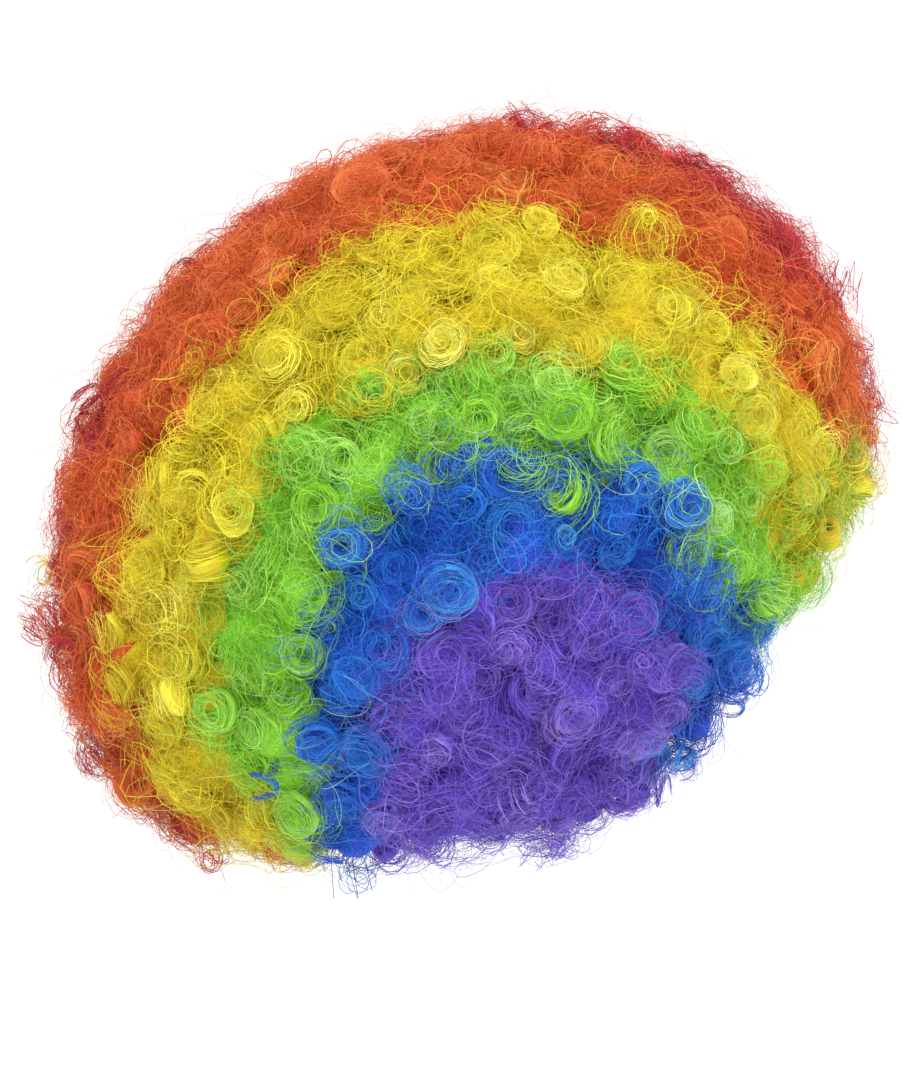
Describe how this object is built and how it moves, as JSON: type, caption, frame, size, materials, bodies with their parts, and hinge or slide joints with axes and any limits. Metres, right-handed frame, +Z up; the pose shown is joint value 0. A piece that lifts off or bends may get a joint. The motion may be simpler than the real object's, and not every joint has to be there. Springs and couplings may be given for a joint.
{
  "type": "costume wig",
  "caption": "Jumbo curly rainbow costume wig: rings of coloured ringlets on a stretch net cap with ear tabs and nape adjusters.",
  "frame": {"origin": "middle of the wearer's head at the height of the tops of the ears", "axes": "-Y towards the face, +Z up, +X towards the wearer's left ear"},
  "size_m": [0.3898, 0.4154, 0.3806],
  "materials": {
    "purple_fibre": "glossy crimped synthetic fibre",
    "blue_fibre": "glossy crimped synthetic fibre",
    "green_fibre": "glossy crimped synthetic fibre",
    "yellow_fibre": "glossy crimped synthetic fibre",
    "orange_fibre": "glossy crimped synthetic fibre",
    "red_fibre": "glossy crimped synthetic fibre",
    "cap_net": "open stretch net",
    "elastic": "ribbed woven elastic",
    "ribbon": "plain woven tape",
    "label": "satin ribbon, blank",
    "tab_felt": "soft felt",
    "hook_plastic": "moulded nylon"
  },
  "bodies": {
    "cap": {"crown_net": "cap_net", "forehead_band": "cap_net", "side_net_left": "cap_net", "side_net_right": "cap_net", "nape_net": "cap_net", "crown_ribbons": "ribbon", "rim_elastic_front": "elastic", "rim_elastic_left": "elastic", "rim_elastic_right": "elastic", "rim_elastic_nape": "elastic", "blank_label": "label", "loop_tape_left": "ribbon", "loop_tape_right": "ribbon", "strap_left": "elastic", "strap_right": "elastic", "wefts_purple_left": "purple_fibre", "wefts_purple_right": "purple_fibre", "wefts_blue_left": "blue_fibre", "wefts_blue_right": "blue_fibre", "wefts_green_left": "green_fibre", "wefts_green_right": "green_fibre", "wefts_yellow_left": "yellow_fibre", "wefts_yellow_right": "yellow_fibre", "wefts_orange_left": "orange_fibre", "wefts_orange_right": "orange_fibre", "wefts_red": "red_fibre", "curls_purple_left": "purple_fibre", "curls_purple_right": "purple_fibre", "curls_blue_front_left": "blue_fibre", "curls_blue_front_right": "blue_fibre", "curls_blue_back_left": "blue_fibre", "curls_blue_back_right": "blue_fibre", "curls_green_front_left": "green_fibre", "curls_green_front_right": "green_fibre", "curls_green_back_left": "green_fibre", "curls_green_back_right": "green_fibre", "curls_yellow_front_left": "yellow_fibre", "curls_yellow_front_right": "yellow_fibre", "curls_yellow_top_left": "yellow_fibre", "curls_yellow_top_right": "yellow_fibre", "curls_yellow_back_left": "yellow_fibre", "curls_yellow_back_right": "yellow_fibre", "curls_orange_front_left": "orange_fibre", "curls_orange_front_right": "orange_fibre", "curls_orange_top_left": "orange_fibre", "curls_orange_top_right": "orange_fibre", "curls_orange_back_left": "orange_fibre", "curls_orange_back_right": "orange_fibre", "curls_fringe_left": "yellow_fibre", "curls_fringe_right": "yellow_fibre", "curls_red_front": "red_fibre", "curls_red_top": "red_fibre", "curls_red_back": "red_fibre"},
    "ear_tab_left": {"ear_tab_left": "tab_felt"},
    "ear_tab_right": {"ear_tab_right": "tab_felt"},
    "hook_left": {"hook_left": "hook_plastic"},
    "hook_right": {"hook_right": "hook_plastic"}
  },
  "joints": [
    {"name": "hook_left_adjust", "type": "hinge", "parent": "cap", "child": "hook_left", "pos_m": [-0.00002, 0.02529, -0.01866], "axis": [0.1812, 0.541, 0.8213], "range_deg": [-4.94, 4.94], "deforming": ["strap_left"]},
    {"name": "hook_right_adjust", "type": "hinge", "parent": "cap", "child": "hook_right", "pos_m": [0.00002, 0.02529, -0.01866], "axis": [0.1812, -0.541, -0.8213], "range_deg": [-4.94, 4.94], "deforming": ["strap_right"]},
    {"name": "ear_tab_left_fold", "type": "hinge", "parent": "cap", "child": "ear_tab_left", "pos_m": [0.07282, -0.03462, -0.00376], "axis": [-0.2936, -0.9559, 0], "range_deg": [0, 35], "stiffness_Nm_per_rad": 0.0005},
    {"name": "ear_tab_right_fold", "type": "hinge", "parent": "cap", "child": "ear_tab_right", "pos_m": [-0.07282, -0.03462, -0.00376], "axis": [-0.2936, 0.9559, 0], "range_deg": [0, 35], "stiffness_Nm_per_rad": 0.0005}
  ]
}
